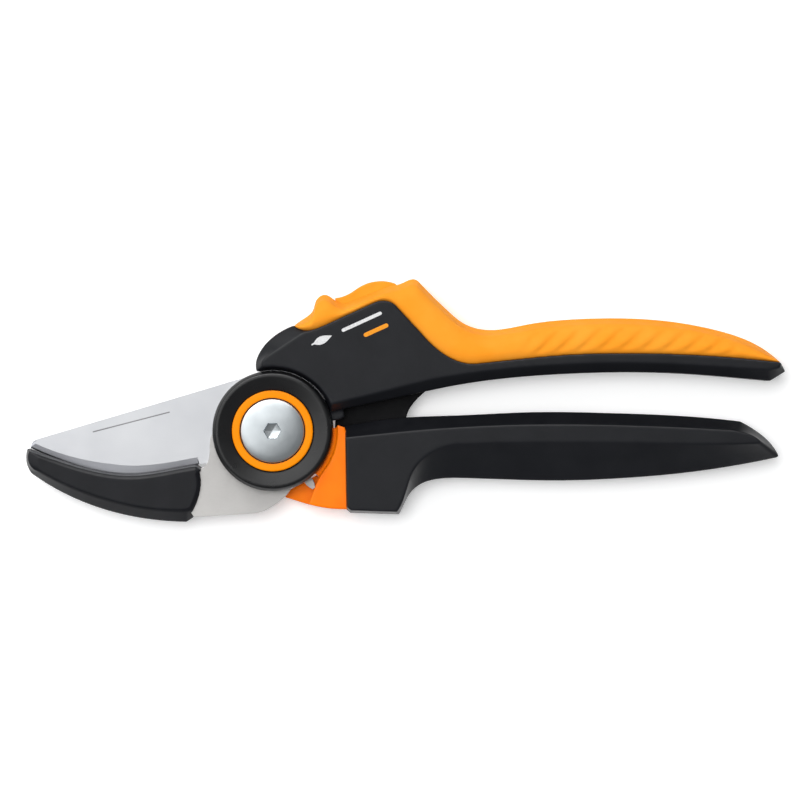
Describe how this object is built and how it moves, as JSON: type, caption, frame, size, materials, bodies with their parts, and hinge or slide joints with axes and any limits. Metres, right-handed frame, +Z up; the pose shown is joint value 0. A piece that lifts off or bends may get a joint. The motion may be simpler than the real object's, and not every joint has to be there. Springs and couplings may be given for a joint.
{
  "type": "pruning shears",
  "caption": "Geared one-hand pruning shears with a fixed blade, a geared anvil-side jaw, a pivoting lower handle, a soft upper grip and a sliding thumb lock.",
  "frame": {"origin": "hub axis at the plane the shears rest on, lying on their back", "axes": "+X towards the handle ends, +Y from the lower handle to the upper one, +Z up out of the face"},
  "size_m": [0.1996, 0.0639, 0.0199],
  "materials": {
    "blade_steel": "ground satin",
    "arm_steel": "satin",
    "cap_steel": "turned, concentric",
    "fixing_steel": "plated",
    "bush_brass": "turned",
    "black_shell": "fine moulded grain",
    "black_core": "moulded",
    "black_jaw": "satin",
    "hub_black": "satin",
    "orange_core": "glossy moulded",
    "orange_ring": "glossy",
    "orange_slider": "satin",
    "soft_orange": "soft matt, diagonal grooves"
  },
  "bodies": {
    "upper_handle": {"blade": "blade_steel", "blade_pins": "fixing_steel", "upper_core": "black_core", "upper_front_shell": "black_shell", "upper_back_shell": "black_shell", "upper_soft_grip": "soft_orange", "upper_shell_screws": "fixing_steel", "hub_front_cover": "hub_black", "hub_back_cover": "hub_black", "front_accent_ring": "orange_ring", "back_accent_ring": "orange_ring", "pivot_bolt": "cap_steel", "pivot_nut": "fixing_steel", "pivot_bush": "bush_brass", "hub_washers": "fixing_steel", "ear_bushing": "bush_brass", "lock_detent": "fixing_steel"},
    "lower_jaw": {"jaw_arm": "arm_steel", "jaw_pad": "black_jaw", "jaw_pad_pins": "fixing_steel"},
    "lower_handle": {"lower_core": "orange_core", "lower_front_shell": "black_shell", "lower_back_shell": "black_shell", "lower_shell_screws": "fixing_steel", "handle_pivot_pin": "fixing_steel", "return_spring": "fixing_steel"},
    "lock": {"lock_slider": "orange_slider", "lock_latch": "fixing_steel"}
  },
  "joints": [
    {"name": "handle_hinge", "type": "hinge", "parent": "upper_handle", "child": "lower_handle", "pos_m": [0.02736, -0.0123, 0.0095], "axis": [0, 0, -1], "range_deg": [0, 32]},
    {"name": "jaw_hinge", "type": "hinge", "parent": "upper_handle", "child": "lower_jaw", "pos_m": [0, 0, 0.0095], "axis": [0, 0, 1], "range_deg": [0, 22.9]},
    {"name": "lock_slide", "type": "slide", "parent": "upper_handle", "child": "lock", "axis": [0.9272, 0.3746, 0], "range_m": [-0.0035, 0]}
  ],
  "couplings": [
    {"joint": "jaw_hinge", "follows": "handle_hinge", "ratio": 0.71429}
  ]
}
